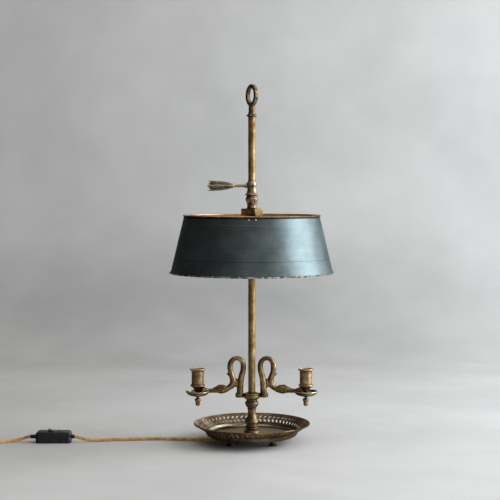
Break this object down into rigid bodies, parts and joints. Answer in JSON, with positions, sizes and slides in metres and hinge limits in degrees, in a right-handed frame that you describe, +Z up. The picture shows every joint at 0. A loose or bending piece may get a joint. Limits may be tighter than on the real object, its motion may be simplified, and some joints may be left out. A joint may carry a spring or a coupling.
{
  "type": "bouillotte lamp",
  "caption": "Table lamp with a pierced tray base, bird-neck candle arms, tall rod with ring, and a drum shade that slides and turns on a keyed collar.",
  "frame": {"origin": "on the floor under the axis of the rod, at the middle of the four feet", "axes": "+Z up along the rod, candle arms along X, front of the lamp towards -Y"},
  "size_m": [0.8097, 0.3114, 0.678],
  "materials": {
    "aged_brass": "dull patina with worn edges",
    "rod_brass": "rubbed, satin, with streaks",
    "tray_bronze": "brown-grey patina, rubbed inside",
    "steel_screw": "dull",
    "shade_paint": "satin dark green-grey outside, gilt inside, chipped edge",
    "holder_brass": "lacquered",
    "bulb_glass": "opal",
    "flex_silk": "twisted silk braid",
    "inner_wire": "insulated wires",
    "black_plastic": "moulded, fine grain",
    "black_rubber": "soft",
    "pin_brass": "bright"
  },
  "bodies": {
    "root": {"feet": "tray_bronze", "foot_screws": "tray_bronze", "tray": "tray_bronze", "gallery": "tray_bronze", "base_nut": "aged_brass", "base_washer": "aged_brass", "nipple": "aged_brass", "cord_anchor": "black_plastic", "anchor_screws": "steel_screw", "strain_sleeve": "black_rubber", "stem_foot": "aged_brass", "baluster": "aged_brass", "knop": "aged_brass", "arm_hub": "aged_brass", "arm_screws": "aged_brass", "arm_left": "aged_brass", "arm_right": "aged_brass", "pan_left": "aged_brass", "pan_right": "aged_brass", "cup_left": "aged_brass", "cup_right": "aged_brass", "pan_finials": "aged_brass", "rod": "rod_brass", "ring_finial": "aged_brass", "lights_hub": "holder_brass", "lights_grub_screw": "steel_screw", "light_tubes": "holder_brass", "holder_left": "holder_brass", "holder_right": "holder_brass", "bulb_left": "bulb_glass", "bulb_right": "bulb_glass", "inner_lead": "inner_wire", "switch_base": "black_plastic", "switch_cover": "black_plastic", "switch_screws": "steel_screw", "switch_glands": "black_rubber", "flex_to_switch": "flex_silk", "flex_to_coil": "flex_silk", "flex_coil": "flex_silk", "coil_tie": "black_rubber", "flex_to_plug": "flex_silk", "plug_body": "black_plastic", "plug_cover": "black_plastic", "plug_pins": "pin_brass", "plug_gland": "black_rubber"},
    "clamp": {"clamp_collar": "aged_brass"},
    "key": {"arrow_key": "aged_brass"},
    "shade_carrier": {"carrier_neck": "aged_brass", "snap_ring": "steel_screw", "carrier_block": "rod_brass", "shade_strap": "aged_brass", "strap_screws": "aged_brass", "shade_rivets": "aged_brass", "shade": "shade_paint"},
    "rocker": {"switch_rocker": "black_plastic"}
  },
  "joints": [
    {"name": "shade_height", "type": "slide", "parent": "root", "child": "clamp", "axis": [0, 0, 1], "range_m": [-0.012, 0.118]},
    {"name": "shade_turn", "type": "hinge", "parent": "clamp", "child": "shade_carrier", "pos_m": [0, 0, 0.4665], "axis": [0, 0, 1], "continuous": true},
    {"name": "key_turn", "type": "hinge", "parent": "clamp", "child": "key", "pos_m": [-0.02, 0, 0.4874], "axis": [-1, 0, 0], "range_deg": [-180, 180]},
    {"name": "rocker_tilt", "type": "hinge", "parent": "root", "child": "rocker", "pos_m": [-0.3765, -0.003, 0.018], "axis": [0, 1, 0], "range_deg": [-14, 0]}
  ]
}
